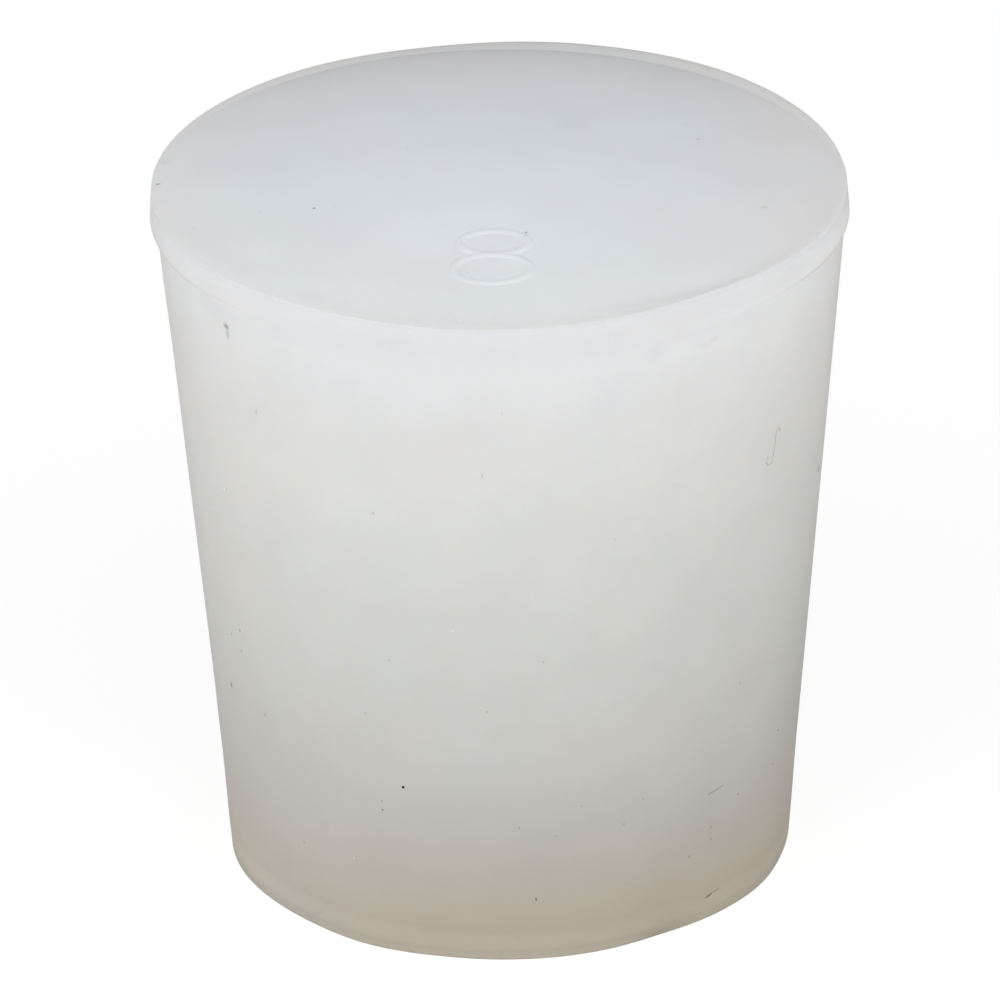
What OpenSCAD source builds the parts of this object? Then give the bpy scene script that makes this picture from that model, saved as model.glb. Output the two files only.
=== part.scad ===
// Solid tapered stopper, moulded in one piece from soft translucent rubber.
// It stands on its small face with +Z up, and the origin is the centre of that face.
// The taper is the sealing surface: it wedges into the neck of a tube, flask or bottle.
// The moulding is trimmed just outside its large face, which leaves a low rim that stands
// a little proud of the taper.

/* [Body] */
// Height from the small face to the large face
height = 31.5; // [20:0.1:45]
// Diameter of the taper at the small face, measured to the sharp corner
base_d = 24.6; // [14:0.1:28]
// Diameter of the taper where it runs into the underside of the rim
neck_d = 29.8; // [28.5:0.1:36]
// Radius of the rounded edge round the small face
base_edge_r = 0.1; // [0.05:0.05:1.5]

/* [Rim] */
// Height of the trimmed rim
rim_h = 1.3; // [0.8:0.05:4]
// How far the rim's lower edge stands proud of the taper
rim_proud = 0.2; // [0.05:0.05:1]
// How far the rim leans in from its lower edge to the large face
rim_lean = 0.1; // [0:0.05:0.5]
// Radius of the rounded edge round the large face
rim_edge_r = 0.1; // [0.05:0.05:0.35]
// Radius of the rounded lower edge of the rim, limited by how far the rim stands proud
rim_lip_r = 0.1; // [0.05:0.01:0.35]

/* [Hidden] */
$fn = 128;

// Each edge round crosses the slanted side by this much, so that it never only grazes it.
hair = 0.001;

neck = [neck_d / 2, height - rim_h];

// Corners of the half section as they would be if every edge were left sharp.
base_corner = [base_d / 2, 0];
rim_low_corner = neck + [rim_proud, 0];
rim_top_corner = [rim_low_corner.x - rim_lean, height];

// The rim's lower edge can't be rounder than the step that it stands on.
lip_r = min(rim_lip_r, rim_proud / 2);

// Each rounded edge lies between a flat face, which runs in towards the axis, and a slanted
// side. An edge is [corner, unit vector from the corner along the slanted side, radius].
base_edge = [base_corner, toward(base_corner, neck), base_edge_r];
rim_low_edge = [rim_low_corner, toward(rim_low_corner, rim_top_corner), lip_r];
rim_top_edge = [rim_top_corner, toward(rim_top_corner, rim_low_corner), rim_edge_r];

function toward(from, to) = (to - from) / norm(to - from);

// Distance from the corner to where the round meets the flat face, and the slanted side.
function setback(edge) = edge[2] / tan(acos(-edge[1].x) / 2);

function round_centre(edge) = edge[0] + [hair - setback(edge), sign(edge[1].y) * edge[2]];

function flat_end(edge) = [round_centre(edge).x, edge[0].y];

function slant_end(edge) = edge[0] + edge[1] * setback(edge);

// Fills a cut corner out to its true arc.
module edge_round(edge) {
    translate(round_centre(edge)) circle(r = edge[2]);
}

// Half section of the stopper: X is the radius and Y is the height.
module half_section() {
    polygon([
        [0, 0],
        flat_end(base_edge),
        slant_end(base_edge),
        neck,
        flat_end(rim_low_edge),
        slant_end(rim_low_edge),
        slant_end(rim_top_edge),
        flat_end(rim_top_edge),
        [0, height]
    ]);
    edge_round(base_edge);
    edge_round(rim_low_edge);
    edge_round(rim_top_edge);
}

// The whole moulding, turned from its half section.
module stopper() {
    color([0.85, 0.86, 0.84]) rotate_extrude() half_section();
}

stopper();
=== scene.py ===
# %% [markdown]
# # A translucent rubber stopper
#
# The real object is one plain moulding of milky rubber: a taper that wedges into a neck, a low rim
# round the large face, and a size number that stands a little proud. There is no paint and no joint,
# so everything that the eye sees comes from three things: the exact outline, the soft way in which
# light sinks into the rubber and comes out again, and a few specks of dust.
# The solid model is loaded first. It is never moved or resized, and all that follows is built round it.

# %% Load the solid model
import math

import bpy
import numpy as np
from mathutils import Matrix, Vector


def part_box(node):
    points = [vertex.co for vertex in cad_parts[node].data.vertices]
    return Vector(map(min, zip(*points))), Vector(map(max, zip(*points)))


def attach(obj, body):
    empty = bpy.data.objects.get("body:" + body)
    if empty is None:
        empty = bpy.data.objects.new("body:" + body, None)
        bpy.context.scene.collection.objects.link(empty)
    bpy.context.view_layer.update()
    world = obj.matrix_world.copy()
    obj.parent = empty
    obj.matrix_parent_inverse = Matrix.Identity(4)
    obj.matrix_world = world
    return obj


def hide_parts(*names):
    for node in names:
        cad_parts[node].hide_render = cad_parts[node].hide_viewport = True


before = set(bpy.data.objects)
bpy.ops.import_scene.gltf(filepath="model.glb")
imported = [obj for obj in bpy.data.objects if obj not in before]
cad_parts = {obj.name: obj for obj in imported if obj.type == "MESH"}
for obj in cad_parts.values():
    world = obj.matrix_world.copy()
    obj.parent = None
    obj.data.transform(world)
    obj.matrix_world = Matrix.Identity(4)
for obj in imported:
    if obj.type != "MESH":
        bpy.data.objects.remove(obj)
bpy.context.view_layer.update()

MM = 0.001
low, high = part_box("stopper")
print("stopper box in mm:", [round(v / MM, 2) for v in high - low])

# %% [markdown]
# ## The camera
#
# A small object seen from close by through a short lens looks swollen. Here a long lens from about
# half a metre keeps the sides of the taper straight and its ellipses true. The camera could be aimed
# with a constraint, but working out its three axes with vectors shows what tilt and roll are: the
# first leans the view down, the second turns it about its own line of sight.

# %% Camera
camera_elevation = math.radians(26.284)
camera_roll = math.radians(-0.92)
camera_distance = 480.0 * MM
camera_lens = 394.71
aim_height = 15.75 * MM
aim_shift = Vector((-0.244 * MM, 0.375 * MM))

level_right = Vector((1, 0, 0))
level_up = Vector((0, math.sin(camera_elevation), math.cos(camera_elevation)))
view_line = Vector((0, math.cos(camera_elevation), -math.sin(camera_elevation)))
camera_right = math.cos(camera_roll) * level_right + math.sin(camera_roll) * level_up
camera_up = math.cos(camera_roll) * level_up - math.sin(camera_roll) * level_right
aim = Vector((0, 0, aim_height)) + camera_right * aim_shift.x + camera_up * aim_shift.y

camera_data = bpy.data.cameras.new("camera")
camera_data.lens = camera_lens
camera_data.clip_start = 0.01
camera = bpy.data.objects.new("camera", camera_data)
bpy.context.scene.collection.objects.link(camera)
axes = Matrix((camera_right, camera_up, -view_line)).transposed()
camera.matrix_world = Matrix.Translation(aim - view_line * camera_distance) @ axes.to_4x4()
bpy.context.scene.camera = camera
bpy.context.scene.view_settings.view_transform = "Standard"
print("camera stands at, in mm:", [round(v / MM, 1) for v in camera.matrix_world.translation])

# %% [markdown]
# ## The half section
#
# A round moulding is drawn once, as the line from the middle of one face, over the side and back to
# the middle of the other face. The Spin or Screw tools could carry that line round, but a grid worked
# out with numpy can be close where there is detail and wide elsewhere, in both directions. Sharp
# corners are given first, and each is then replaced by an arc that touches both its sides.

# %% Driving sizes of the moulding
height = high.z
base_r = 12.3 * MM
neck_r = 14.9 * MM
rim_h = 1.3 * MM
rim_proud = 0.2 * MM
rim_lean = 0.1 * MM
base_edge_r = 0.05 * MM
neck_fillet_r = 0.05 * MM
rim_lip_r = 0.1 * MM
rim_edge_r = 0.05 * MM

neck_z = height - rim_h
edge_r = neck_r + rim_proud - rim_lean
print("step of the rim is", round(neck_z / MM, 2), "mm up; top edge reaches", round(edge_r / MM, 2), "mm")


# %% Corners to arcs
def rounded(corners, radii, steps=24):
    """Replaces each inner corner by an arc that touches both of its sides.
    With u and v as the directions from the corner along its two sides, the arc starts the setback,
    radius / tan(half the corner's angle), along u and ends as far along v. Its centre lies on the
    line halfway between them, and its points turn about that centre in equal steps."""
    corners = np.asarray(corners, float)
    outline = [corners[:1]]
    for before, corner, after, radius in zip(corners, corners[1:], corners[2:], radii):
        u = (before - corner) / np.linalg.norm(before - corner)
        v = (after - corner) / np.linalg.norm(after - corner)
        half = math.acos(np.clip(u @ v, -1, 1)) / 2
        centre = corner + (u + v) / np.linalg.norm(u + v) * radius / math.sin(half)
        start = corner + u * radius / math.tan(half) - centre
        end = corner + v * radius / math.tan(half) - centre
        turn = math.atan2(start[0] * end[1] - start[1] * end[0], start @ end)
        angle = np.linspace(0, turn, steps)[:, None]
        outline.append(centre + np.cos(angle) * start + np.sin(angle) * np.array([-start[1], start[0]]))
    outline.append(corners[-1:])
    return np.concatenate(outline)


corners = [
    (0, 0), (base_r, 0), (neck_r, neck_z), (neck_r + rim_proud, neck_z), (edge_r, height), (0, height),
]
section = rounded(corners, [base_edge_r, neck_fillet_r, rim_lip_r, rim_edge_r])
section_run = np.concatenate([[0], np.cumsum(np.hypot(*np.diff(section, axis=0).T))])
print("half section:", len(section), "points,", round(section_run[-1] / MM, 2), "mm long")

# %% [markdown]
# ## Grid lines where they are needed
#
# The number's strokes are about half a millimetre wide, so the grid under them has to be about a
# twentieth of a millimetre, but a grid as fine as that all over would have over a million faces. The
# usual ways are to subdivide a patch, or to let a Multiresolution modifier do it. Here the lines are
# graded instead: their density is added up along the way, and a line is put down each time that the
# running total has grown by about one, so the spacing changes gently and the mesh stays one clean grid.


# %% Graded lines
def graded(start, stop, spacing, windows, samples=20001, steepness=12):
    """Places lines from start to stop, `spacing` apart, and closer in each window.
    A window is (centre, half width, finer spacing). The density of lines is one over the spacing, or
    share / finer spacing where that is more, with the share of a window worked out as
    1 / (1 + (distance from its centre / half width)^steepness). The lines are the places where the
    running total of the density passes equal steps."""
    place = np.linspace(start, stop, samples)
    density = np.full_like(place, 1 / spacing)
    for centre, half_width, finer in windows:
        share = 1 / (1 + (np.abs(place - centre) / half_width) ** steepness)
        density = np.maximum(density, share / finer)
    total = np.concatenate([[0], np.cumsum((density[1:] + density[:-1]) / 2 * np.diff(place))])
    steps = math.ceil(total[-1])
    return np.interp(np.linspace(0, total[-1], steps + 1), total, place)


run_margin = 0.1 * MM


def run_at_height(z):
    """The way along the half section to the height z on the taper: out along the base and up the
    slant, less a margin that is more than the rounded corner saves."""
    slant = z / math.cos(math.atan((neck_r - base_r) / neck_z))
    return base_r + slant - run_margin


def run_at_top(radius):
    """The way along the half section to the given radius on the large face."""
    return section_run[-1] - radius


# %% Places of the rings and the columns
front_azimuth = -90
number_front, number_back = 11.1 * MM, 4.6 * MM
number_middle, number_half = (number_front + number_back) / 2, (number_front - number_back) / 2
nick_azimuth, nick_z = -142.6, 28.82 * MM

ring_run = graded(0, section_run[-1], 1.1 * MM, [
    (base_r, 0.3 * MM, 0.03 * MM),  # edge of the base
    (run_at_height(nick_z), 0.5 * MM, 0.035 * MM),  # nick
    (run_at_height(neck_z) + 0.8 * MM, 1.0 * MM, 0.035 * MM),  # step and side of the rim
    (run_at_top(edge_r), 0.1 * MM, 0.013 * MM),  # top edge
    (run_at_top(14.2 * MM), 0.9 * MM, 0.08 * MM),  # face beside the top edge
    (run_at_top(number_middle), number_half + 0.2 * MM, 0.055 * MM),  # number
])
column_angle = graded(-math.pi, math.pi, math.radians(1.7), [
    (math.radians(front_azimuth), math.radians(25), math.radians(0.38)),  # number
    (math.radians(nick_azimuth), math.radians(1.1), math.radians(0.12)),  # nick
])[:-1]
print(len(ring_run), "rings by", len(column_angle), "columns")

# %% [markdown]
# ## The hand-made outline
#
# The half section alone gives a perfect lathe form. The real rim was trimmed by a cutter, so its top
# edge is drawn up a little on one side and its lower edge wanders, the soft base has a flat or two,
# and the taper is a trace hollow on the left. Sculpting could add this, but a short list of swells,
# each with an azimuth, a width and a height, can be read and changed. Azimuths are measured from +X
# towards +Y, so the front of the stopper is at -90 degrees.


# %% Soft steps and bells
def smooth_step(value, start, stop):
    """0 before start, 1 after stop, and 3t^2 - 2t^3 between them."""
    t = np.clip((value - start) / (stop - start), 0, 1)
    return t * t * (3 - 2 * t)


def bell(value, middle, reach, power=2):
    """exp(-((value - middle) / reach)^power), which is 1 in the middle and 0.37 at the reach. A higher
    even power gives a flatter top and steeper sides."""
    return np.exp(-((value - middle) / reach) ** power)


def turned_from(angle, azimuth):
    """The degrees from an azimuth to an angle, wrapped to lie between -180 and 180, so that a bump can
    sit on the seam of the grid."""
    return (np.degrees(angle) - azimuth + 180) % 360 - 180


# %% Swells round the rim and the base
# Each swell is (azimuth, width, height), in degrees and millimetres.
edge_lift = [(-50, 20, 0.22), (-90, 45, 0.05), (-98, 10, -0.035), (-148, 12, -0.06), (102, 16, -0.10),
             (52, 14, 0.03)]
rim_swell = [(165, 30, 0.095), (8, 17, -0.08), (-14, 12, 0.05), (50, 14, 0.03)]
base_swell = [(-164, 17, 0.13), (-120, 12, 0.15), (-88, 14, 0.05), (-58, 10, -0.175), (-28, 10, 0.10),
              (0, 12, 0.05)]
lip_lift = [(-8, 22, 0.11), (-172, 22, -0.04)]
taper_hollow = [(-178, 30, -0.036)]
lift_reach, lip_reach = 0.8 * MM, 0.5 * MM
flare_start, flare_stop = 0.5 * MM, 5 * MM
hollow_deepens, hollow_ends = (5 * MM, 9 * MM), (24 * MM, 28 * MM)


def swell(angle, swells):
    """Adds up swells round the axis, each its height times a bell of the angle from its azimuth."""
    total = np.zeros_like(angle)
    for azimuth, width, swell_height in swells:
        total += swell_height * bell(turned_from(angle, azimuth), 0, width)
    return total * MM


def base_flare(angle, z):
    """How far the taper stands out of the half section near the base, fading out on the way up."""
    return swell(angle, base_swell) * (1 - smooth_step(z, flare_start, flare_stop))


def hollow(angle, z):
    """How far the taper sinks in between the base and the neck: a swell below zero that fades in on
    the way up and out again."""
    fade = smooth_step(z, *hollow_deepens) - smooth_step(z, *hollow_ends)
    return swell(angle, taper_hollow) * fade


print(len(edge_lift), "swells shape the top edge and", len(base_swell), "the base")

# %% [markdown]
# ## The raised number
#
# The size number is part of the moulding: a groove was cut into the mould with a round-nosed cutter,
# so the strokes stand up with round backs and soft feet. It could be a text object joined by a
# boolean, which would leave sharp corners, or a bump map, which would vanish at a low angle. Here
# the face itself rises: the height depends on the distance to the middle line of the stroke, and
# an 8 is nothing but two ovals that share a stroke.

# %% Number 8 as a height
# Each loop is (middle, half width, half height).
upper_loop = ((-0.30 * MM, -6.27 * MM), 1.45 * MM, 1.17 * MM)
lower_loop = ((-0.43 * MM, -8.89 * MM), 1.64 * MM, 1.415 * MM)
stroke_w = 0.52 * MM
stroke_h = 0.08 * MM


def oval_distance(x, y, centre, half_width, half_height, least=1e-9):
    """Distance to an oval's line, to first order: with k0 the length of (x/a, y/b) and k1 the length
    of (x/a^2, y/b^2), the distance is |k0 (k0 - 1) / k1|, and k1 is kept above zero."""
    across, along = x - centre[0], y - centre[1]
    k0 = np.hypot(across / half_width, along / half_height)
    k1 = np.hypot(across / half_width ** 2, along / half_height ** 2)
    return np.abs(k0 * (k0 - 1) / np.maximum(k1, least))


def number_height(x, y):
    """Height of the raised stroke: a round back over the nearer of the two ovals, which is
    stroke_h (1 - (distance / half the stroke)^2)^1.5 and runs out softly at its feet."""
    distance = np.minimum(oval_distance(x, y, *upper_loop), oval_distance(x, y, *lower_loop))
    inside = np.clip(1 - (distance / (stroke_w / 2)) ** 2, 0, None)
    return stroke_h * inside ** 1.5


def stroke_flanks(x, y, step=0.01 * MM, right_share=0.23):
    """How far a flank of the stroke faces the front: the height's rise towards the back, less a share
    of its rise towards the right, each from two heights that lie one step to either side."""
    rise_back = (number_height(x, y + step) - number_height(x, y - step)) / (2 * step)
    rise_right = (number_height(x + step, y) - number_height(x - step, y)) / (2 * step)
    return rise_back - right_share * rise_right


middles_apart = upper_loop[0][1] - lower_loop[0][1]
number_h = middles_apart + upper_loop[2] + lower_loop[2] + stroke_w
print("number is", round(number_h / MM, 2), "mm high, with strokes", round(stroke_w / MM, 2), "mm wide")

# %% [markdown]
# ## A nick under the rim
#
# Soft rubber tears where a nail or a vessel's lip catches it. One such nick, with a deep head and a
# shallow tail, is under the rim on the left. It could be a dark line in the material alone, but a
# real groove also catches the light from its own side. It is drawn as two short lines of points, and
# the skin sinks in wherever it is close to one of them.

# %% Nick as a groove
# Each place is (azimuth in degrees, height in millimetres).
nick_head = [(-142.66, 29.075), (-142.32, 29.105), (-142.24, 29.04)]
nick_tail = [(-142.30, 29.00), (-142.25, 28.90), (-142.22, 28.82), (-142.28, 28.68), (-142.40, 28.58)]
nick_w = 0.23 * MM
nick_depth = 0.03 * MM
tail_share = 0.42


def line_distance(u, v, line):
    """Distance to a chain of straight pieces. On each piece the nearest point is at the share t of
    its length, where t is the dot product of (point - start) and (end - start) over the piece's
    squared length, kept between 0 and 1."""
    nearest = np.full_like(u, np.inf)
    for (u0, v0), (u1, v1) in zip(line, line[1:]):
        du, dv = u1 - u0, v1 - v0
        t = np.clip(((u - u0) * du + (v - v0) * dv) / (du * du + dv * dv), 0, 1)
        nearest = np.minimum(nearest, np.hypot(u - u0 - t * du, v - v0 - t * dv))
    return nearest


def groove(angle, z, places):
    """How deep a groove along a line of places is, with the taper rolled out flat near it: 1 up to a
    tenth of the nick's width from the line, and 0 from three quarters of it."""
    flat_line = [(math.radians(azimuth) * neck_r, up * MM) for azimuth, up in places]
    return 1 - smooth_step(line_distance(angle * neck_r, z, flat_line), 0.1 * nick_w, 0.75 * nick_w)


def nick_share(angle, z):
    """The nick's depth from 0 to 1: the deeper of its head and its shallow tail."""
    return np.maximum(groove(angle, z, nick_head), tail_share * groove(angle, z, nick_tail))


nick_heights = [up for azimuth, up in nick_head + nick_tail]
print("nick runs from", min(nick_heights), "to", max(nick_heights), "mm above the base")

# %% [markdown]
# ## The skin of the stopper
#
# Every point of the skin is a function of two numbers: how far along the half section it lies, and
# its azimuth. The two lists of grid lines make a table of such pairs, and each effect is added to
# the whole table at once, with no loop over points. The two centres of the faces are single points
# with a fan of triangles round each, so the mesh is closed.

# %% Skin as whole arrays
run, angle = np.meshgrid(ring_run[1:-1], column_angle, indexing="ij")
degrees = np.degrees(angle)
radius = np.interp(run, section_run, section[:, 0])
z = np.interp(run, section_run, section[:, 1])

off_base = smooth_step(radius, 10 * MM, 12 * MM)
radius += (base_flare(angle, z) + hollow(angle, z)) * off_base
on_rim = smooth_step(z, neck_z - 0.3 * MM, neck_z + 0.1 * MM) * smooth_step(radius, 13 * MM, 14.5 * MM)
radius += swell(angle, rim_swell) * on_rim
print("skin has", radius.size, "points and reaches", round(radius.max() / MM, 3), "mm from the axis")

# %% [markdown]
# At the back and the sides the rim ends below in a small step, but at the front the cutter left no
# step: the taper flows out into the rim. The flow is a cubic curve that starts on the taper and ends
# near the top edge, with the slope of the taper at one end and that of the rim at the other. Each
# point moves from the stepped section to the curve, and the share of that move fades round the sides.

# %% Rim that flows into the taper at the front
flow_width, flow_power = 60.5, 20
flow_below_neck, flow_below_edge = 2.2 * MM, 0.2 * MM
flow_start_z, flow_end_z = neck_z - flow_below_neck, height - flow_below_edge
flow_start, flow_end = run_at_height(flow_start_z), run_at_top(edge_r) - flow_below_edge
taper_slope, rim_slope = (neck_r - base_r) / neck_z, -rim_lean / rim_h
flow_start_r = base_r + taper_slope * flow_start_z
flow_end_r = edge_r + rim_slope * (flow_end_z - height)

front_share = bell(degrees, front_azimuth, flow_width, flow_power)
along = np.clip((run - flow_start) / (flow_end - flow_start), 0, 1)
span = flow_end_z - flow_start_z
climb = (flow_end_r - flow_start_r) / span
flow_r = (flow_start_r + span * (taper_slope * along * (1 - along) ** 2
          + rim_slope * along ** 2 * (along - 1) + climb * along ** 2 * (3 - 2 * along)))
in_flow = (along > 0) & (along < 1)
radius += np.where(in_flow, front_share * (flow_r - radius), 0)
z += np.where(in_flow, front_share * (flow_start_z + span * along - z), 0)
print("flow starts", round(flow_start_z / MM, 2), "mm up and ends at", round(flow_end_z / MM, 2), "mm")

# %% [markdown]
# The finer things come last: the lower and the top edge of the rim move up or down by their swells,
# the nick sinks into the skin, and the number rises out of the large face.

# %% Edges, nick and number
lip_z = neck_z + swell(angle, lip_lift)
z += (lip_z - neck_z) * bell(z, neck_z, lip_reach)
edge_rise = swell(angle, edge_lift) * smooth_step(radius, edge_r - lift_reach, edge_r)
z += edge_rise * smooth_step(z, neck_z, height)
radius -= nick_depth * nick_share(angle, z)

x, y = radius * np.cos(angle), radius * np.sin(angle)
on_face = smooth_step(run, run_at_top(13 * MM), run_at_top(12 * MM))
z += number_height(x, y) * on_face
print("number stands", round((z[on_face > 0.5].max() - height) / MM, 3), "mm above the face")

# %% [markdown]
# ## Painted light and shade in the skin
#
# Where light falls through a thin part, such as the rim behind the large face, the rubber looks
# lighter or warmer than the paint-like colour alone would make it; along edges and under the rim it
# looks darker. Here that light and shade is painted into the colour. Such places are stored at the
# points of the mesh, as shares from 0 to about 1 that the material reads. They could be image masks,
# but a share per point needs no unwrapping, and it follows the shape when a size is changed. The
# large face and the side come first, because most of the other shares are kept to one of the two.


# %% Large face and side
def say(what, values):
    """Prints the smallest and the largest value of a table."""
    print(what, "runs from", round(float(values.min()), 3), "to", round(float(values.max()), 3))


in_from_edge = np.clip(edge_r - radius, 0, None)
large_face = smooth_step(run, run_at_top(edge_r + 0.05 * MM), run_at_top(edge_r - 0.03 * MM))
on_side = 1 - large_face
at_back = smooth_step(y, -2 * MM, 14 * MM) * large_face
at_front = (1 - smooth_step(y, -8 * MM, 6 * MM)) * large_face
say("large_face", large_face)

# %% [markdown]
# The rim has a colour of its own, darker than the side below it, which is partly painted shade that
# holds back the light the rim catches. It starts at the step where there is one, and comes in
# gradually where the taper flows into the rim. The side's colour follows the way up, darker towards
# the foot partly as painted shade, and one stretch of the foot is as cool as the skin a millimetre
# higher.

# %% Shares of the rim and the foot
cool_rise = 0.035
rim_start = run_at_height(neck_z) + 0.10 * MM
stepped_rim = smooth_step(run, rim_start, rim_start + 0.15 * MM)
flowing_rim = smooth_step(along, 0.30, 1.0)
gradual_share = bell(degrees, -91, 51, power=8)
rim_side = (gradual_share * flowing_rim + (1 - gradual_share) * stepped_rim) * on_side
cool_foot = bell(degrees, -142, 20) * (1 - smooth_step(z, 4 * MM, 9 * MM))
up_share = z / height + cool_rise * cool_foot
# The nick's share, used for painted shade in its groove.
nick_painted_shade = nick_share(angle, z)
say("rim_side", rim_side)
say("up_share", up_share)

# %% [markdown]
# On the large face, light comes through the wall at the back, and it is painted as a pale crescent:
# the part of the face that lies outside a circle of the face's own size, moved a millimetre to the
# front. Beside it lies a painted shade, a little darker and warmer; the face takes another tint
# towards its front edge, and at both ends a painted shade turns it grey.

# %% Shares of the large face
wall_left, wall_front = 0.2 * MM, 1.0 * MM
from_wall = edge_r - np.hypot(x + wall_left, y + wall_front)
inside_wall = np.clip(from_wall, 0, None)
# Painted light through the back wall, then painted shade beside it and at both ends of the face.
rear_wall_light = (1 - smooth_step(from_wall, -0.12 * MM, 0.02 * MM)) * at_back
rear_warm_shade = bell(inside_wall, 0, 4.5 * MM) * (1 - rear_wall_light) * at_back
front_edge = bell(in_from_edge, 0, 6.0 * MM) * at_front
face_end_shade = smooth_step(x, 8.5 * MM, 12.5 * MM) + 0.5 * smooth_step(-x, 13.0 * MM, 14.5 * MM)
face_end_shade *= large_face * (1 - rear_wall_light)
say("rear_wall_light", rear_wall_light)
say("face_end_shade", face_end_shade)

# %% [markdown]
# The tone of the skin is one number per point, 1 where no term adds to it, and the colour is
# multiplied by it. Nearly all of its terms are painted light and painted shade; only the patches on
# the side are partly uneven milk. Each term below is one thing that the eye can see on such a stopper,
# and the number that it starts with is its strength. Along the top edge, painted shade holds back the
# light that leaks out of the sharp edge, thin painted lines of light and shade on the edge are paler
# or darker from side to side, and painted shade lies in the crease where the cutter drew the edge up.

# %% Painted light and shade along the top edge
crease_azimuth = -55
beside_front = 1 - bell(degrees, front_azimuth, 30)
edge_shade = 0.10 * bell(in_from_edge, 0, 1.4 * MM) * at_front * (1 - 0.2 * beside_front)
# Thin painted lines of light and shade along the top edge.
front_painted_line = (0.06 * beside_front - 0.04) * (1 - smooth_step(y, -9 * MM, -4 * MM))
right_painted_highlight = 0.07 * smooth_step(x, 5 * MM, 11 * MM) * (1 + smooth_step(y, 0, 5 * MM))
left_painted_shade = -0.035 * bell(degrees, -167, 13)
edge_light = (front_painted_line + left_painted_shade + right_painted_highlight) * bell(in_from_edge, 0, 0.15 * MM) * large_face
# Painted shade in the crease where the edge is drawn up.
crease_in = (0.85 - 0.03 * (degrees - crease_azimuth)) * MM
crease_shade = 0.065 * bell(in_from_edge, crease_in, 0.35 * MM) * bell(degrees, crease_azimuth, 14)
crease_shade *= large_face
say("edge_light", edge_light)

# %% [markdown]
# The light through the wall at the back is painted as a pale lip, and in front of it are a painted
# dark line and a soft painted shade.

# %% Painted light and shade of the back wall
wall_shade = 0.105 * np.exp(-inside_wall / (1.4 * MM)) * (1 - rear_wall_light) * at_back
wall_shade *= 0.4 + 0.6 * smooth_step(y, 7 * MM, 14 * MM)
wall_shade += 0.05 * bell(from_wall, 0, 0.14 * MM) * at_back
wall_light = 0.28 + 0.15 * bell(degrees, 98, 22)
wall_light *= bell(in_from_edge, 0, 0.45 * MM) * at_back ** 2
wall_light *= 1 - 0.6 * smooth_step(-x, 10 * MM, 14 * MM)
say("wall_light", wall_light)

# %% [markdown]
# The middle of the large face is painted a little lighter than its border. A stroke of the number
# has a painted highlight on the flank that faces the front, painted shade on the other, and a trace of
# painted shade on its back.

# %% Painted light and shade of the face and the number
# Painted light in the middle of the large face.
face_middle_light = 0.07 * bell(np.hypot(x + 1 * MM, y + 3 * MM), 0, 9 * MM) * large_face
flank_slope = stroke_flanks(x, y) * on_face
flank_light = 0.14 * np.clip(flank_slope, 0, None) + 0.10 * np.clip(flank_slope, None, 0)
stroke_shade = 0.03 * number_height(x, y) / stroke_h * on_face
say("flank_light", flank_light)

# %% [markdown]
# On the side, painted shade holds back the light along the top edge again. The rim is painted
# lighter towards its lower edge wherever it is turned away from the front, and most at its right end.
# The foot has a painted pale line round it, which stands for light from the table.

# %% Painted light and shade of the rim and the foot
down_from_edge = np.clip(height + edge_rise - z, 0, None)
low_on_rim = (down_from_edge / MM) ** 2
on_rim_band = on_side * smooth_step(z, lip_z - 0.10 * MM, lip_z + 0.25 * MM)
rim_shade = 0.16 * np.exp(-down_from_edge / (0.30 * MM)) * on_side
rim_light = (1 - bell(degrees, -92, 56, power=4)) * (0.07 + 0.11 * low_on_rim) * on_rim_band
end_light = bell(degrees, -8, 16) * (0.05 + 0.22 * low_on_rim) * on_rim_band
foot_reach = (0.22 + 0.05 * bell(degrees, -150, 15)) * MM
# Painted light from the table along the foot.
foot_light = 1.9 * np.exp(-z / foot_reach) * smooth_step(radius, 12 * MM, 12.25 * MM)
say("rim_light", rim_light)
say("foot_light", foot_light)

# %% [markdown]
# The last term is a set of soft patches on the side, a few hundredths lighter or darker, partly
# uneven milk and partly painted light and shade. Then all the terms are added up.

# %% Patches of milk and painted light, and the whole tone
# Each patch is (azimuth, height, half angle, half height, tone), in degrees and millimetres.
side_painted_light_and_milk = [
    (-30, 28.5, 16, 3.5, 0.06), (-12, 8, 14, 12, -0.04), (-90, 9.5, 30, 2, 0.03), (-8, 6, 16, 8, -0.07),
    (-48, 14, 15, 6, -0.03), (-45, 4, 16, 5, -0.02), (-176, 14, 12, 16, -0.05), (-150, 1.2, 14, 1.5, 0.05),
    (-55, 1.2, 12, 1.2, 0.02), (-60, 29.9, 20, 1.2, 0.03), (-15, 27, 8, 3, 0.03), (-100, 26, 12, 3, -0.015),
    (-150, 27.5, 9, 3, 0.03), (-146, 29.75, 8, 0.65, -0.045), (-25, 30.35, 5, 0.10, -0.03),
    (-35, 30.7, 6, 0.9, -0.025),
]
clouds = np.zeros_like(z)
for azimuth, up, half_angle, half_height, tone in side_painted_light_and_milk:
    patch = bell(turned_from(angle, azimuth), 0, half_angle) * bell(z, up * MM, half_height * MM)
    clouds += tone * patch * on_side

# The whole tone: painted light less painted shade, with the side patches partly uneven milk.
lights = edge_light + wall_light + face_middle_light + flank_light + rim_light + end_light + foot_light + clouds
shades = edge_shade + crease_shade + wall_shade + stroke_shade + rim_shade
painted_light_shade_and_milk = 1 + lights - shades
say("painted_light_shade_and_milk", painted_light_shade_and_milk)

# %% [markdown]
# ## From tables to meshes
#
# A table of points is joined with two rules: neighbours in a ring and in the next ring make a quad,
# and each pole is one point with a triangle to each pair of neighbours on its ring. Seen from
# outside, every face runs the same way round. One mesh can hold many such shells, which the dust
# makes use of, so the points of each shell are numbered on from those of the one before.

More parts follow.
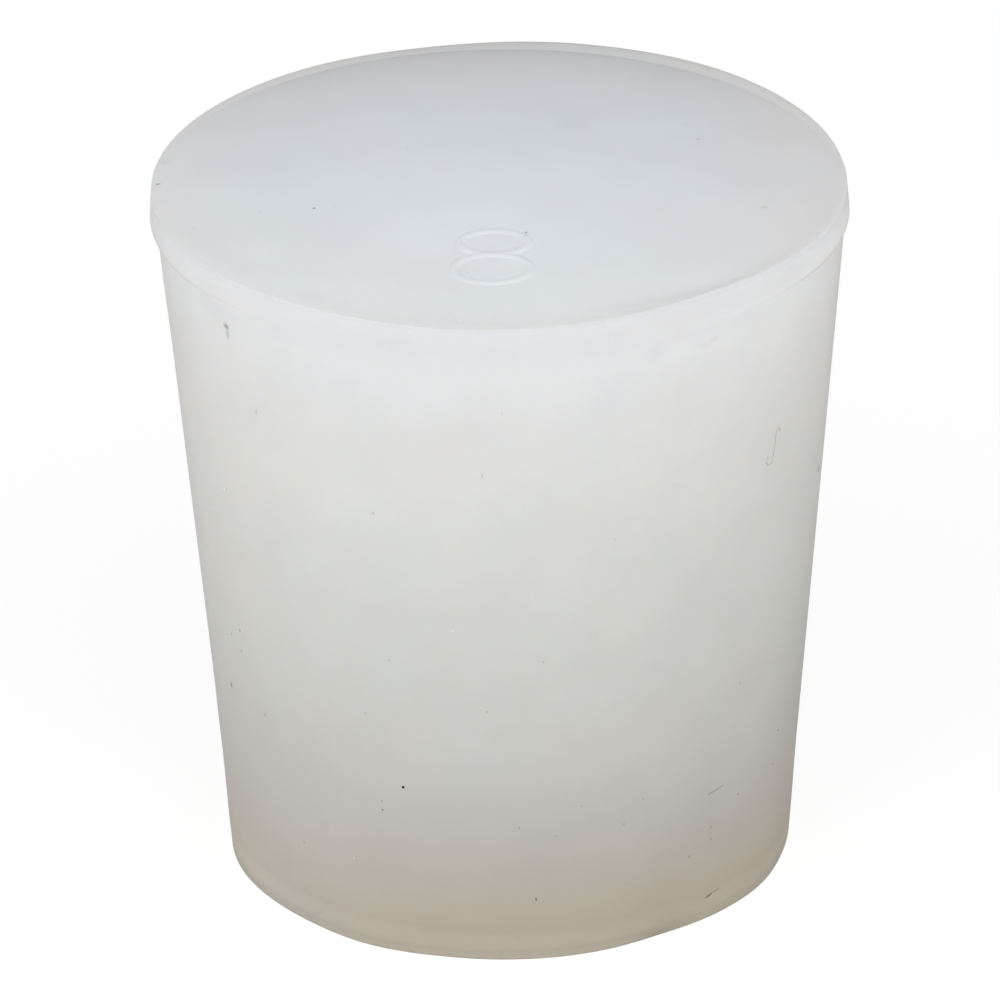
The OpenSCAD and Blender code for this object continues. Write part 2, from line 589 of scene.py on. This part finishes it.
# %% Shells to mesh
def shell(points, first_pole, last_pole):
    """Points and faces of one closed shell, from a table of rings by columns by three."""
    rings, columns = points.shape[:2]
    number = np.arange(rings * columns).reshape(rings, columns)
    beside = np.roll(number, -1, axis=1)
    quads = np.stack([number[:-1], beside[:-1], beside[1:], number[1:]], axis=-1).reshape(-1, 4)
    low_pole, high_pole = rings * columns, rings * columns + 1
    low_fan = np.stack([np.full(columns, low_pole), beside[0], number[0]], axis=-1)
    high_fan = np.stack([np.full(columns, high_pole), number[-1], beside[-1]], axis=-1)
    return np.concatenate([points.reshape(-1, 3), [first_pole, last_pole]]), quads, (low_fan, high_fan)


def shells_to_piece(name, shells):
    """One smooth object out of a list of shells."""
    starts = np.cumsum([0] + [len(points) for points, quads, fans in shells])
    faces = []
    for start, (points, quads, fans) in zip(starts.tolist(), shells):
        faces += (quads + start).tolist()
        for fan in fans:
            faces += (fan + start).tolist()
    mesh = bpy.data.meshes.new(name)
    mesh.from_pydata(np.concatenate([points for points, quads, fans in shells]), [], faces)
    mesh.polygons.foreach_set("use_smooth", np.ones(len(mesh.polygons), bool))
    mesh.update()
    piece = bpy.data.objects.new(name, mesh)
    bpy.context.scene.collection.objects.link(piece)
    triangles = sum(len(p.vertices) - 2 for p in mesh.polygons)
    print(name + ":", len(mesh.vertices), "points,", triangles, "triangles")
    return piece


def give_share(piece, name, table):
    """Stores one number per point under a name that the material can read. Each pole takes the mean
    of the ring beside it."""
    values = np.concatenate([table.ravel(), [table[0].mean(), table[-1].mean()]]).astype(np.float32)
    piece.data.attributes.new(name, "FLOAT", "POINT").data.foreach_set("value", values)


# %% Stopper piece
skin = shell(np.stack([x, y, z], axis=-1), (0, 0, 0), (0, 0, height))
stopper = shells_to_piece("stopper_moulding", [skin])
skin_shares = {
    "large_face": large_face, "rim_side": rim_side, "rear_wall_light": rear_wall_light, "rear_warm_shade": rear_warm_shade,
    "front_edge": front_edge, "face_end_shade": face_end_shade, "up_share": up_share, "painted_light_shade_and_milk": painted_light_shade_and_milk,
    "nick_painted_shade": nick_painted_shade,
}
for name, values in skin_shares.items():
    give_share(stopper, name, values)
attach(stopper, "root")
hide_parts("stopper")

# %% [markdown]
# ## Milky rubber
#
# This rubber is neither glass nor paint: light goes a few millimetres in, scatters and comes out
# somewhere else, so edges are soft and shadows never quite close. A plain diffuse colour would look
# like plaster and a glass shader like ice. Subsurface scattering follows the light on its random
# walk below the surface. Red light walks furthest, which warms the parts that are lit from far away.


# %% Helpers that add nodes
def node(tree, kind, inputs=None, **settings):
    """Adds a shader node, sets its properties, and gives its inputs values or links by name or number."""
    made = tree.nodes.new(kind)
    for name, value in settings.items():
        setattr(made, name, value)
    for socket, value in (inputs or {}).items():
        if isinstance(value, bpy.types.NodeSocket):
            tree.links.new(value, made.inputs[socket])
        else:
            made.inputs[socket].default_value = value
    return made


def share(tree, name):
    """Reads a number that is stored at the points of the mesh."""
    return node(tree, "ShaderNodeAttribute", attribute_name=name).outputs["Fac"]


def own_place(tree):
    """The place on the piece, in metres from its origin."""
    return node(tree, "ShaderNodeTexCoord").outputs["Object"]


def bare_material(name):
    """A new material and its node tree, with nothing in it."""
    material = bpy.data.materials.new(name)
    material.use_nodes = True
    material.node_tree.nodes.clear()
    return material, material.node_tree


def put_on(piece, material, surface):
    """Ends a material's tree with the given surface and puts the material on a piece."""
    node(material.node_tree, "ShaderNodeOutputMaterial", {"Surface": surface.outputs[0]})
    piece.data.materials.append(material)
    print(material.name, "has", len(material.node_tree.nodes), "nodes")


# %% Helpers that work on colours
def linear(red, green, blue):
    """Turns a colour given as it looks on a screen, 0 to 255, into the linear colour that shaders use:
    below 0.04 it is divided by 12.92, and above that it is ((c + 0.055) / 1.055)^2.4."""
    screen = np.array([red, green, blue]) / 255
    light = np.where(screen <= 0.04045, screen / 12.92, ((screen + 0.055) / 1.055) ** 2.4)
    return (*(float(v) for v in light), 1.0)


def ramp(tree, factor, stops):
    """A colour ramp from (place, colour) pairs, blended in straight lines."""
    made = node(tree, "ShaderNodeValToRGB", {"Fac": factor})
    made.color_ramp.interpolation = "LINEAR"
    elements = made.color_ramp.elements
    while len(elements) < len(stops):
        elements.new(0.5)
    for element, (place, colour) in zip(elements, stops):
        element.position = place
        element.color = colour
    return made.outputs["Color"]


def blend(tree, factor, first, second):
    """The first colour where the factor is 0 and the second where it is 1."""
    return node(tree, "ShaderNodeMix", {0: factor, 6: first, 7: second}, data_type="RGBA").outputs[2]


def scaled(tree, colour, factor):
    """A colour times a number."""
    return node(tree, "ShaderNodeVectorMath", {0: colour, 3: factor}, operation="SCALE").outputs[0]


def from_to(tree, value, low_in, high_in, low_out, high_out, kind="LINEAR"):
    """Carries a range of values over to another range, in a straight line or as a smooth step."""
    made = node(tree, "ShaderNodeMapRange", {
        "Value": value, "From Min": low_in, "From Max": high_in, "To Min": low_out, "To Max": high_out,
    }, interpolation_type=kind)
    return made.outputs["Result"]


# %% [markdown]
# The side's colour is a ramp that climbs from the warm, dark foot to the cool, pale rim; the dark,
# warm foot is partly painted shade, for light that has travelled far through the rubber. The other
# colours are laid over it one after the other, each where its share says, and the tone, mostly
# painted light and shade, multiplies the result.

# %% Rubber colour
rubber, tree = bare_material("milky_rubber")
skin_colour = ramp(tree, share(tree, "up_share"), [
    (0.00, (0.572, 0.525, 0.425, 1)),
    (0.035, (0.545, 0.508, 0.440, 1)),
    (0.06, (0.543, 0.517, 0.466, 1)),
    (0.13, (0.540, 0.540, 0.522, 1)),
    (0.22, (0.577, 0.598, 0.610, 1)),
    (0.42, (0.672, 0.716, 0.732, 1)),
    (0.73, (0.758, 0.802, 0.825, 1)),
    (0.85, (0.760, 0.799, 0.839, 1)),
    (0.95, (0.763, 0.820, 0.883, 1)),
])
# The rim's colour is partly painted shade, the back wall's is painted light, and the back and ends of the
# face are painted shade.
colour_layers = {
    "rim_side": (0.646, 0.684, 0.735, 1),
    "large_face": (0.570, 0.598, 0.629, 1),
    "front_edge": (0.567, 0.592, 0.602, 1),
    "rear_warm_shade": (0.561, 0.565, 0.582, 1),
    "face_end_shade": (0.572, 0.576, 0.590, 1),
    "rear_wall_light": (0.655, 0.655, 0.635, 1),
}
for name, colour in colour_layers.items():
    skin_colour = blend(tree, share(tree, name), skin_colour, colour)
skin_colour = scaled(tree, skin_colour, share(tree, "painted_light_shade_and_milk"))
print(len(colour_layers), "colours are laid over the ramp")

# %% [markdown]
# No rubber is even. Slow clouds in the milk change the colour by a hundredth or so over a few
# millimetres, a little warmer here and cooler there, and the skin has a fine grain that shows
# only where the eye meets it at a low angle. Both come from noise at the real size of the thing,
# so the pattern does not grow or shrink with the view. The nick is painted greyer, as painted shade
# in its groove.

# %% Clouds and grain
cloud_size, warmth_size, grain_size = 3.0, 5.0, 0.22
warmth_pattern = 5.0
noise_range, cloud_range, roughness_range = (0.3, 0.7), (0.985, 1.015), (0.60, 0.70)
warm_tint, cool_tint = (1.008, 0.996, 0.990, 1), (0.992, 1.004, 1.006, 1)
nick_shade_colour = linear(166, 168, 166)

skin_place = own_place(tree)
in_mm = scaled(tree, skin_place, 1 / MM)
cloud = node(tree, "ShaderNodeTexNoise", {"Vector": in_mm, "Scale": 1 / cloud_size, "Detail": 3.0})
warmth = node(tree, "ShaderNodeTexNoise", {
    "Vector": in_mm, "Scale": 1 / warmth_size, "Detail": 2.0, "W": warmth_pattern,
}, noise_dimensions="4D")
skin_colour = scaled(tree, skin_colour, from_to(tree, cloud.outputs["Fac"], *noise_range, *cloud_range))
tint = blend(tree, from_to(tree, warmth.outputs["Fac"], *noise_range, 0, 1), warm_tint, cool_tint)
skin_colour = node(tree, "ShaderNodeMix", {0: 1.0, 6: skin_colour, 7: tint}, data_type="RGBA",
                   blend_type="MULTIPLY").outputs[2]
# Painted shade in the nick.
skin_colour = blend(tree, share(tree, "nick_painted_shade"), skin_colour, nick_shade_colour)

grain = node(tree, "ShaderNodeTexNoise", {"Vector": in_mm, "Scale": 1 / grain_size, "Detail": 2.0})
bumps = node(tree, "ShaderNodeBump", {
    "Height": grain.outputs["Fac"], "Strength": 0.25, "Distance": 0.02 * MM,
})
sheen_break = from_to(tree, cloud.outputs["Fac"], *noise_range, *roughness_range)
print("clouds are", cloud_size, "mm and grains", grain_size, "mm across")

# %% [markdown]
# Smudges are where a wet finger or the bench has dulled the skin. Each is a soft round spot, given
# by its middle and its reach: a Distance node measures from the middle, and inside the reach the
# skin is darkened by two to ten hundredths. The lists give azimuth and height, or x and y on the
# large face, then the reach, with lengths in millimetres, and how much darker the middle is.


# %% Smudges
def on_side_skin(azimuth, up):
    """A point of the finished side from its azimuth in degrees and its height in millimetres: the
    radius is read off the nearest column of the skin, between the rings below and above."""
    turn = math.radians(azimuth)
    column = np.abs(column_angle - turn).argmin()
    upright = (ring_run[1:-1] > base_r) & (ring_run[1:-1] < run_at_top(edge_r))
    r = float(np.interp(up * MM, z[upright, column], radius[upright, column]))
    return (r * math.cos(turn), r * math.sin(turn), up * MM)


side_smudges = [
    (-64.5, 29.6, 0.75, 0.035), (-53.2, 29.46, 0.28, 0.050), (-55.0, 29.33, 0.32, 0.030),
    (-93.2, 30.35, 0.14, 0.045), (-128.3, 29.1, 0.16, 0.040), (-67.8, 25.2, 0.14, 0.040),
    (-59.2, 22.8, 0.14, 0.035), (-116.5, 3.0, 0.14, 0.040), (-59.0, 2.6, 0.13, 0.040),
]
face_smudges = [(3.3, 5.8, 0.9, 0.03), (-8.0, -11.3, 0.8, 0.02), (-14.6, 2.6, 0.55, 0.10)]
smudges = [(on_side_skin(azimuth, up), reach, depth) for azimuth, up, reach, depth in side_smudges]
smudges += [((px * MM, py * MM, height), reach, depth) for px, py, reach, depth in face_smudges]
for middle, reach, depth in smudges:
    ends = {0: skin_place, 1: middle}
    away = node(tree, "ShaderNodeVectorMath", ends, operation="DISTANCE").outputs["Value"]
    spot = from_to(tree, away, reach * MM, 0.0, 1.0, 1.0 - depth, "SMOOTHSTEP")
    skin_colour = scaled(tree, skin_colour, spot)
print(len(smudges), "smudges")

# %% [markdown]
# Colour, grain and scattering meet in one Principled surface. Below the skin, red light walks about
# eight millimetres and blue less than six. The sheen is faint, and rougher and smoother in turns.

# %% Rubber surface
surface = node(tree, "ShaderNodeBsdfPrincipled", {
    "Base Color": skin_colour,
    "Roughness": sheen_break,
    "IOR": 1.41,
    "Specular IOR Level": 0.10,
    "Subsurface Weight": 0.7,
    "Subsurface Radius": (1.0, 0.85, 0.7),
    "Subsurface Scale": 8.0 * MM,
    "Normal": bumps.outputs[0],
})
put_on(stopper, rubber, surface)

# %% [markdown]
# ## Dust and lint
#
# Rubber holds on to dust. The grains, the one thread of lint and a few fine scuffs lie on the skin
# and are no part of the moulding, so they are a piece of their own. A particle system could scatter
# dust, but these grains are listed one by one, each with its own place, width, length and tone. Grains
# and threads are the same thing, a closed tube that narrows to a point at both ends and is laid
# along a line on the skin. A grain's line is only as long as the grain. The tube is pressed flat,
# so that it hugs the skin.

# %% Tubes on the skin
tube_columns = 8
tube_flatness = 0.35
smoothing_passes = 3


def tube(line, outward, width, steps):
    """A closed tube along a line of points, in one shell.
    The line is cut into equal steps by its length, and its kinks are smoothed. At each step the way
    along the line t and the outward direction n give the third direction b = t x n, and the ring is
    centre + r (cos b + flatness sin n), where r = half the width x sqrt(1 - s^6) and s runs from -1
    at one end to 1 at the other."""
    line, outward = np.asarray(line, float), np.asarray(outward, float)
    length = np.concatenate([[0], np.cumsum(np.linalg.norm(np.diff(line, axis=0), axis=1))])
    wanted = np.linspace(0, length[-1], steps)
    centre = np.stack([np.interp(wanted, length, column) for column in line.T], axis=-1)
    up = np.stack([np.interp(wanted, length, column) for column in outward.T], axis=-1)
    for smoothing in range(smoothing_passes):
        centre[1:-1] = (centre[:-2] + 2 * centre[1:-1] + centre[2:]) / 4
    along = np.gradient(centre, axis=0)
    along /= np.linalg.norm(along, axis=1)[:, None]
    across = np.cross(along, up)
    end_share = np.linspace(-1, 1, steps)
    ring_radius = (width / 2 * np.sqrt(np.clip(1 - end_share ** 6, 0, None)))[1:-1, None, None]
    turn = np.linspace(0, 2 * math.pi, tube_columns, endpoint=False)[None, :, None]
    ring = np.cos(turn) * across[1:-1, None] + tube_flatness * np.sin(turn) * up[1:-1, None]
    return shell(centre[1:-1, None] + ring_radius * ring, centre[0], centre[-1])


def thread_on_side(places, width, steps):
    """A tube along (azimuth, height) places on the side, half sunk."""
    line = [on_side_skin(azimuth, up) for azimuth, up in places]
    turns = [math.radians(azimuth) for azimuth, up in places]
    return tube(line, [(math.cos(turn), math.sin(turn), 0) for turn in turns], width, steps)


def thread_on_face(places, width, steps):
    """A tube along (x, y) places on the large face, half sunk."""
    line = [(px * MM, py * MM, height) for px, py in places]
    return tube(line, [(0, 0, 1)] * len(places), width, steps)


# %% Grains listed one by one
# Each grain is (azimuth in degrees, height, width, length, tone), with sizes in millimetres and the
# tone from 0, black, to 255, white.
side_grains = [
    (-110.72, 8.47, 0.11, 0.16, 22), (-115.30, 7.10, 0.09, 0.12, 149), (-85.23, 3.07, 0.08, 0.15, 121),
    (-149.62, 13.43, 0.12, 0.14, 171), (-156.77, 9.95, 0.12, 0.26, 158), (-149.98, 12.37, 0.11, 0.13, 178),
    (-113.36, 22.08, 0.09, 0.14, 206), (-52.10, 3.64, 0.08, 0.16, 158), (-153.58, 12.84, 0.06, 0.10, 150),
    (-88.41, 6.75, 0.08, 0.09, 170), (-94.09, 12.67, 0.10, 0.10, 201), (-143.59, 9.80, 0.11, 0.12, 181),
    (-136.78, 25.43, 0.07, 0.27, 208), (-93.88, 24.40, 0.07, 0.20, 215), (-67.60, 6.33, 0.08, 0.10, 184),
    (-112.02, 14.83, 0.07, 0.10, 201), (-46.53, 4.10, 0.09, 0.12, 169), (-76.42, 7.62, 0.10, 0.10, 195),
    (-46.75, 4.73, 0.13, 0.10, 179), (-63.71, 7.39, 0.08, 0.07, 179), (-135.36, 4.11, 0.07, 0.10, 165),
    (-81.27, 6.23, 0.10, 0.12, 191), (-90.33, 27.48, 0.06, 0.20, 226), (-41.09, 11.47, 0.09, 0.10, 193),
    (-70.82, 20.77, 0.06, 0.15, 213), (-39.18, 5.71, 0.09, 0.10, 181), (-12.05, 18.91, 0.06, 0.39, 140),
    (-155.06, 18.90, 0.11, 0.12, 255), (-99.83, 16.68, 0.08, 0.10, 255), (-149.33, 20.45, 0.11, 0.13, 252),
    (-122.55, 4.26, 0.09, 0.10, 212), (-152.77, 19.94, 0.10, 0.09, 243), (-18.64, 30.05, 0.08, 0.18, 206),
    (-34.60, 23.36, 0.16, 0.17, 208), (-24.87, 7.44, 0.09, 0.10, 160), (-66.95, 3.22, 0.09, 0.10, 185),
    (-25.97, 5.86, 0.09, 0.11, 158), (-83.70, 15.09, 0.09, 0.12, 198), (-115.30, 7.56, 0.08, 0.10, 185),
    (-117.64, 11.89, 0.07, 0.12, 195),
]
# Each of these is (x, y, width, length, direction in degrees, tone).
face_grains = [
    (-8.02, -2.45, 0.085, 0.15, 0, 123), (1.06, -5.28, 0.11, 0.14, 30, 165),
    (11.30, -3.12, 0.20, 0.26, 10, 192), (-14.78, 0.29, 0.08, 0.22, 8, 120),
    (8.62, 4.09, 0.10, 0.17, 0, 185), (-1.47, -9.23, 0.11, 0.14, 0, 195),
    (8.18, 5.69, 0.08, 0.12, 0, 200), (-4.03, 3.53, 0.07, 0.10, 0, 194),
    (-10.33, -2.67, 0.07, 0.10, 0, 200), (-7.12, -2.28, 0.07, 0.10, 0, 198),
    (-13.14, -4.20, 0.08, 0.12, 0, 201), (13.26, -3.06, 0.07, 0.12, 0, 190),
    (-9.68, -0.32, 0.07, 0.10, 0, 200),
]
lint_line = [(-34.28, 23.24), (-35.07, 23.48), (-35.57, 23.44), (-35.72, 22.99), (-35.70, 22.69),
             (-35.94, 22.35), (-36.12, 21.96), (-36.60, 21.88), (-37.40, 21.88), (-38.06, 22.06),
             (-37.79, 22.33), (-37.54, 22.45)]
# Threads and fine scuffs are (places, width, tone).
side_threads = [
    (lint_line, 0.06, 200),
    ([(-48.21, 6.50), (-46.00, 6.54), (-43.84, 6.62)], 0.05, 160),
    ([(-46.90, 1.10), (-46.00, 1.15), (-45.10, 1.22)], 0.11, 128),
    ([(-45.10, 1.22), (-44.00, 1.26), (-43.10, 1.27)], 0.06, 150),
]
face_threads = [
    ([(-2.33, -13.13), (-2.05, -13.60), (-1.79, -14.13)], 0.05, 208),
]
print(len(side_grains) + len(face_grains), "grains,", len(side_threads) + len(face_threads), "threads")

# %% Dust piece
grain_steps, thread_steps = 7, 60
shells, tones = [], []
for azimuth, up, width, length, tone in side_grains:
    ends = [(azimuth, up - length / 2), (azimuth, up + length / 2)]
    shells.append(thread_on_side(ends, width * MM, grain_steps))
    tones.append(tone)
for px, py, width, length, direction, tone in face_grains:
    step_x = length / 2 * math.cos(math.radians(direction))
    step_y = length / 2 * math.sin(math.radians(direction))
    ends = [(px - step_x, py - step_y), (px + step_x, py + step_y)]
    shells.append(thread_on_face(ends, width * MM, grain_steps))
    tones.append(tone)
for lay, threads in ((thread_on_side, side_threads), (thread_on_face, face_threads)):
    for places, width, tone in threads:
        shells.append(lay(places, width * MM, thread_steps))
        tones.append(tone)

dust = shells_to_piece("dust_and_lint", shells)
tone_light = [linear(tone, tone, tone)[0] for tone in tones]
point_counts = [len(points) for points, quads, fans in shells]
point_tone = np.repeat(tone_light, point_counts)
dust.data.attributes.new("tone", "FLOAT", "POINT").data.foreach_set("value", point_tone.astype(np.float32))
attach(dust, "root")

# %% Dust material
dusty, tree = bare_material("dry_dust")
dust_white = (1.0, 0.99, 0.96)
fluff_per_mm, fluff_range = 12, (0.85, 1.1)
fluff = node(tree, "ShaderNodeTexNoise", {
    "Vector": own_place(tree), "Scale": fluff_per_mm / MM, "Detail": 1.0,
}).outputs["Fac"]
dust_colour = scaled(tree, dust_white, share(tree, "tone"))
dust_colour = scaled(tree, dust_colour, from_to(tree, fluff, *noise_range, *fluff_range))
surface = node(tree, "ShaderNodeBsdfPrincipled", {
    "Base Color": dust_colour, "Roughness": 0.9, "Specular IOR Level": 0.2,
})
put_on(dust, dusty, surface)

# %% [markdown]
# ## Floor, backdrop and light
#
# A pale thing on a white ground is the hardest to light: if the ground is made white by more light,
# the thing burns out. Here the ground is white only to the camera and to reflections, through the
# Light Path node, while the light that it sends up onto the rubber is that of a plain pale table.

# %% Floor
floor_half = 1.5
floor_mesh = bpy.data.meshes.new("floor")
floor_corners = [(-floor_half, -floor_half, 0), (floor_half, -floor_half, 0),
                 (floor_half, floor_half, 0), (-floor_half, floor_half, 0)]
floor_mesh.from_pydata(floor_corners, [], [(0, 1, 2, 3)])
floor = bpy.data.objects.new("floor", floor_mesh)
bpy.context.scene.collection.objects.link(floor)
print("floor is", 2 * floor_half, "m wide")


def seen_directly(tree):
    """1 for a ray from the camera, a mirror or a clear body, and 0 for light on its way to a surface."""
    rays = node(tree, "ShaderNodeLightPath").outputs
    mirrored = {0: rays["Is Camera Ray"], 1: rays["Is Glossy Ray"]}
    either = node(tree, "ShaderNodeMath", mirrored, operation="MAXIMUM").outputs[0]
    cleared = {0: either, 1: rays["Is Transmission Ray"]}
    return node(tree, "ShaderNodeMath", cleared, operation="MAXIMUM").outputs[0]


# %% [markdown]
# To the camera, the ground is even white further out. Near the stopper a share of it is a dim matt
# surface, which keeps what little shadow there is where the stopper stands, and the rest is a glow.

# %% Table material
white = (1, 1, 1, 1)
matt_share, glow_share = 0.16, 0.88
white_from, white_to = 30 * MM, 70 * MM

table_top, tree = bare_material("pale_table")
plain = node(tree, "ShaderNodeBsdfDiffuse", {"Color": linear(222, 209, 193)})
shadow_keeper = node(tree, "ShaderNodeBsdfDiffuse", {"Color": (matt_share, matt_share, matt_share, 1)})
glow = node(tree, "ShaderNodeEmission", {"Color": white, "Strength": glow_share})
near_ground = node(tree, "ShaderNodeAddShader", {0: shadow_keeper.outputs[0], 1: glow.outputs[0]})
far_ground = node(tree, "ShaderNodeEmission", {"Color": white, "Strength": 1.0})
from_centre = node(tree, "ShaderNodeVectorMath", {0: own_place(tree)}, operation="LENGTH").outputs["Value"]
far = from_to(tree, from_centre, white_from, white_to, 0.0, 1.0, "SMOOTHSTEP")
ground = node(tree, "ShaderNodeMixShader", {0: far, 1: near_ground.outputs[0], 2: far_ground.outputs[0]})
table_mix = node(tree, "ShaderNodeMixShader", {
    0: seen_directly(tree), 1: plain.outputs[0], 2: ground.outputs[0],
})
put_on(floor, table_top, table_mix)

# %% [markdown]
# The world is parted in the same way: plain white behind everything for the camera, and a faint,
# even light from all sides for the rubber.

# %% World
ambient_level = 0.20
world = bpy.data.worlds.new("studio")
bpy.context.scene.world = world
world.use_nodes = True
tree = world.node_tree
tree.nodes.clear()
ambient = node(tree, "ShaderNodeBackground", {"Color": white, "Strength": ambient_level})
backdrop = node(tree, "ShaderNodeBackground", {"Color": white, "Strength": 1.0})
sky = node(tree, "ShaderNodeMixShader", {
    0: seen_directly(tree), 1: ambient.outputs[0], 2: backdrop.outputs[0],
})
node(tree, "ShaderNodeOutputWorld", {"Surface": sky.outputs[0]})
print("ambient light is", ambient_level, "of white")

# %% [markdown]
# The rubber is lit by five large, soft lamps: one high up in front, one to each side of it, and two
# further round to the left and the right that are bigger and stand further off. They are unseen by
# the camera.


# %% Lamps
def soft_lamp(name, azimuth, elevation, distance, size, level):
    """A square area lamp aimed at the middle of the stopper. Its level is what a white card there
    would show: a square lamp of power P gives P / (pi^2 distance^2), so P is level x pi^2 x distance^2."""
    data = bpy.data.lights.new(name, "AREA")
    data.shape = "SQUARE"
    data.size = size
    data.energy = level * math.pi ** 2 * distance ** 2
    lamp = bpy.data.objects.new(name, data)
    flat = math.cos(math.radians(elevation))
    towards = Vector((
        flat * math.cos(math.radians(azimuth)),
        flat * math.sin(math.radians(azimuth)),
        math.sin(math.radians(elevation)),
    ))
    turn = towards.to_track_quat("Z", "Y").to_matrix().to_4x4()
    lamp.matrix_world = Matrix.Translation(Vector((0, 0, height / 2)) + towards * distance) @ turn
    lamp.visible_camera = False
    bpy.context.scene.collection.objects.link(lamp)
    print(name, "power", round(data.energy, 3), "W")


near_distance, near_size = 110 * MM, 90 * MM
far_distance, far_size = 190 * MM, 160 * MM
# Each call gives name, azimuth, elevation, distance, size and level.
soft_lamp("high_front_lamp", -90, 60, near_distance, near_size, 0.504)
soft_lamp("front_left_lamp", -130, 35, near_distance, near_size, 0.166)
soft_lamp("front_right_lamp", -50, 35, near_distance, near_size, 0.230)
soft_lamp("left_lamp", -160, 35, far_distance, far_size, 0.349)
soft_lamp("right_lamp", -20, 35, far_distance, far_size, 0.198)
